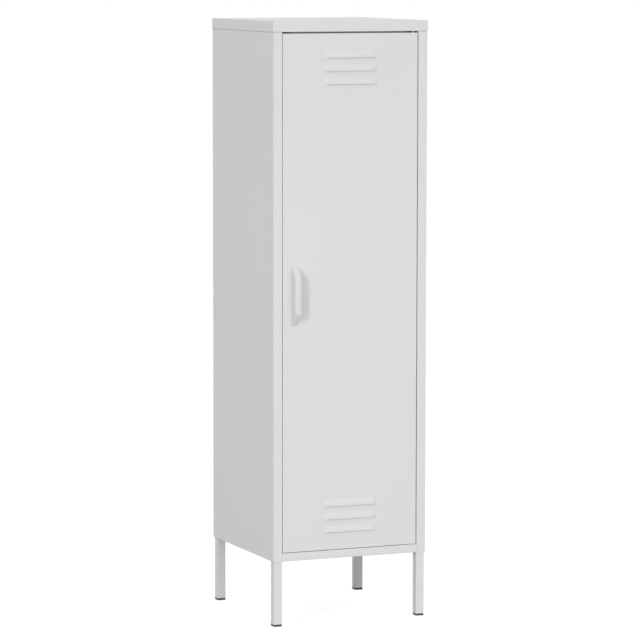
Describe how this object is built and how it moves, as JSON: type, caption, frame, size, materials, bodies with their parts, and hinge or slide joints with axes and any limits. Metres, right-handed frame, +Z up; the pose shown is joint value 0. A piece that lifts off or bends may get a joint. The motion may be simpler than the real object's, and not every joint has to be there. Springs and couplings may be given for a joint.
{
  "type": "metal cabinet",
  "caption": "Tall narrow sheet-steel cabinet on slim square legs with a louvred, right-hinged door, a pull handle, a magnetic catch and adjustable shelves.",
  "frame": {"origin": "on the floor, under the middle of the box that holds the whole cabinet with its handle", "axes": "+Z up, -Y out of the door, +X to the right of someone facing the door"},
  "size_m": [0.382, 0.4082, 1.38],
  "materials": {
    "paint": "fine satin powder coat, light warm-free grey",
    "zinc": "bright zinc plate",
    "nylon": "natural white nylon",
    "foot_plastic": "dark grey moulded plastic",
    "buffer_rubber": "soft matt rubber"
  },
  "bodies": {
    "cabinet": {"top_panel": "paint", "side_panel_left": "paint", "side_panel_right": "paint", "back_panel": "paint", "bottom_panel": "paint", "leg_front_left": "paint", "leg_front_right": "paint", "leg_back_left": "paint", "leg_back_right": "paint", "foot_cap_front_left": "foot_plastic", "foot_cap_front_right": "foot_plastic", "foot_cap_back_left": "foot_plastic", "foot_cap_back_right": "foot_plastic", "leg_bolts": "zinc", "leg_nuts": "zinc", "lid_nuts": "zinc", "base_screws": "zinc", "base_nuts": "zinc", "back_screws": "zinc", "shelf_clips": "zinc", "pivot_bush_top": "nylon", "pivot_bush_bottom": "nylon", "catch_housing": "nylon", "catch_magnet": "zinc", "catch_screws": "zinc", "door_buffers": "buffer_rubber"},
    "door": {"door_panel": "paint", "door_stiffener": "paint", "hinge_bracket_top": "zinc", "hinge_bracket_bottom": "zinc", "hinge_spring": "zinc", "hinge_pin_bottom": "zinc", "hinge_washer": "nylon", "handle": "paint", "handle_screws": "zinc"},
    "upper_pin": {"hinge_pin_top": "zinc"},
    "lower_shelf": {"shelf_lower": "paint"},
    "middle_shelf": {"shelf_middle": "paint"},
    "upper_shelf": {"shelf_upper": "paint"}
  },
  "joints": [
    {"name": "door_hinge", "type": "hinge", "parent": "cabinet", "child": "door", "pos_m": [0.156, -0.1711, 0.76175], "axis": [0, 0, 1], "range_deg": [0, 110]},
    {"name": "pin_retract", "type": "slide", "parent": "door", "child": "upper_pin", "axis": [0, 0, -1], "range_m": [0, 0.0085], "stiffness_N_per_m": 400, "springref_m": -0.006, "deforming": ["hinge_spring"]},
    {"name": "lower_shelf_lift", "type": "slide", "parent": "cabinet", "child": "lower_shelf", "axis": [0, 0, 1], "range_m": [0, 0.025]},
    {"name": "middle_shelf_lift", "type": "slide", "parent": "cabinet", "child": "middle_shelf", "axis": [0, 0, 1], "range_m": [0, 0.025]},
    {"name": "upper_shelf_lift", "type": "slide", "parent": "cabinet", "child": "upper_shelf", "axis": [0, 0, 1], "range_m": [0, 0.025]}
  ]
}
